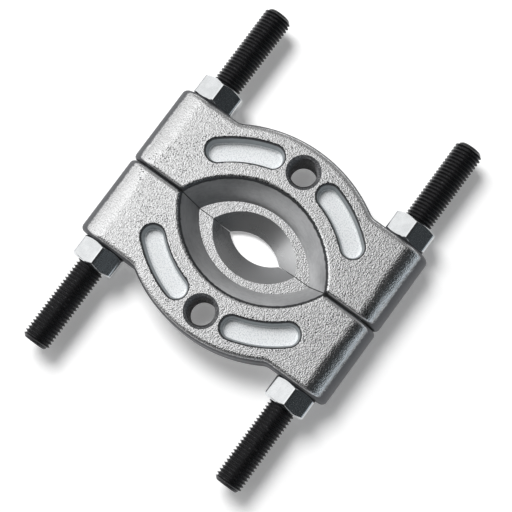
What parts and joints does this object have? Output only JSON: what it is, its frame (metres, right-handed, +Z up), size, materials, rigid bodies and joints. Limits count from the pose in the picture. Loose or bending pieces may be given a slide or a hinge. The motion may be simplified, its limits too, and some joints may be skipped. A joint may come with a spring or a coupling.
{
  "type": "bearing separator",
  "caption": "Clamshell bearing separator: plated cast jaws with a stepped lens-shaped opening, drawn together by long threaded studs and hex nuts, with threaded puller holes",
  "frame": {"origin": "middle of the opening, on the flat underside that the tool lies on", "axes": "+X along the split between the jaws; +Y along the studs, from the front jaw to the rear jaw; +Z up through the thickness, out of the dish"},
  "size_m": [0.16, 0.22, 0.028],
  "materials": {
    "jaw_casting": "satin plating over a grainy casting",
    "stud_steel": "black oxide",
    "nut_steel": "bright zinc plating"
  },
  "bodies": {
    "front_jaw": {"front_jaw": "jaw_casting"},
    "rear_jaw": {"rear_jaw": "jaw_casting"},
    "left_stud": {"left_stud": "stud_steel"},
    "right_stud": {"right_stud": "stud_steel"},
    "rear_left_nut": {"rear_left_nut": "nut_steel"},
    "rear_right_nut": {"rear_right_nut": "nut_steel"},
    "front_left_nut": {"front_left_nut": "nut_steel"},
    "front_right_nut": {"front_right_nut": "nut_steel"}
  },
  "joints": [
    {"name": "jaw_opening", "type": "slide", "parent": "front_jaw", "child": "rear_jaw", "axis": [0, 1, 0], "range_m": [0, 0.09]},
    {"name": "left_stud_slide", "type": "slide", "parent": "front_jaw", "child": "left_stud", "axis": [0, 1, 0], "range_m": [0, 0.045]},
    {"name": "right_stud_slide", "type": "slide", "parent": "front_jaw", "child": "right_stud", "axis": [0, 1, 0], "range_m": [0, 0.045]},
    {"name": "rear_left_nut_turn", "type": "hinge", "parent": "rear_jaw", "child": "rear_left_nut", "pos_m": [-0.06299, 0.0537, 0.014], "axis": [0, 1, 0], "range_deg": [0, 8100]},
    {"name": "rear_right_nut_turn", "type": "hinge", "parent": "rear_jaw", "child": "rear_right_nut", "pos_m": [0.06299, 0.0537, 0.014], "axis": [0, 1, 0], "range_deg": [0, 8100]},
    {"name": "front_left_nut_turn", "type": "hinge", "parent": "front_jaw", "child": "front_left_nut", "pos_m": [-0.06299, -0.0537, 0.014], "axis": [0, -1, 0], "range_deg": [0, 8100]},
    {"name": "front_right_nut_turn", "type": "hinge", "parent": "front_jaw", "child": "front_right_nut", "pos_m": [0.06299, -0.0537, 0.014], "axis": [0, -1, 0], "range_deg": [0, 8100]}
  ],
  "couplings": [
    {"joint": "left_stud_slide", "follows": "jaw_opening", "ratio": 0.5},
    {"joint": "right_stud_slide", "follows": "jaw_opening", "ratio": 0.5},
    {"joint": "rear_left_nut_turn", "follows": "jaw_opening", "rad_per_m": 1570.8},
    {"joint": "rear_right_nut_turn", "follows": "jaw_opening", "rad_per_m": 1570.8},
    {"joint": "front_left_nut_turn", "follows": "jaw_opening", "rad_per_m": 1570.8},
    {"joint": "front_right_nut_turn", "follows": "jaw_opening", "rad_per_m": 1570.8}
  ]
}
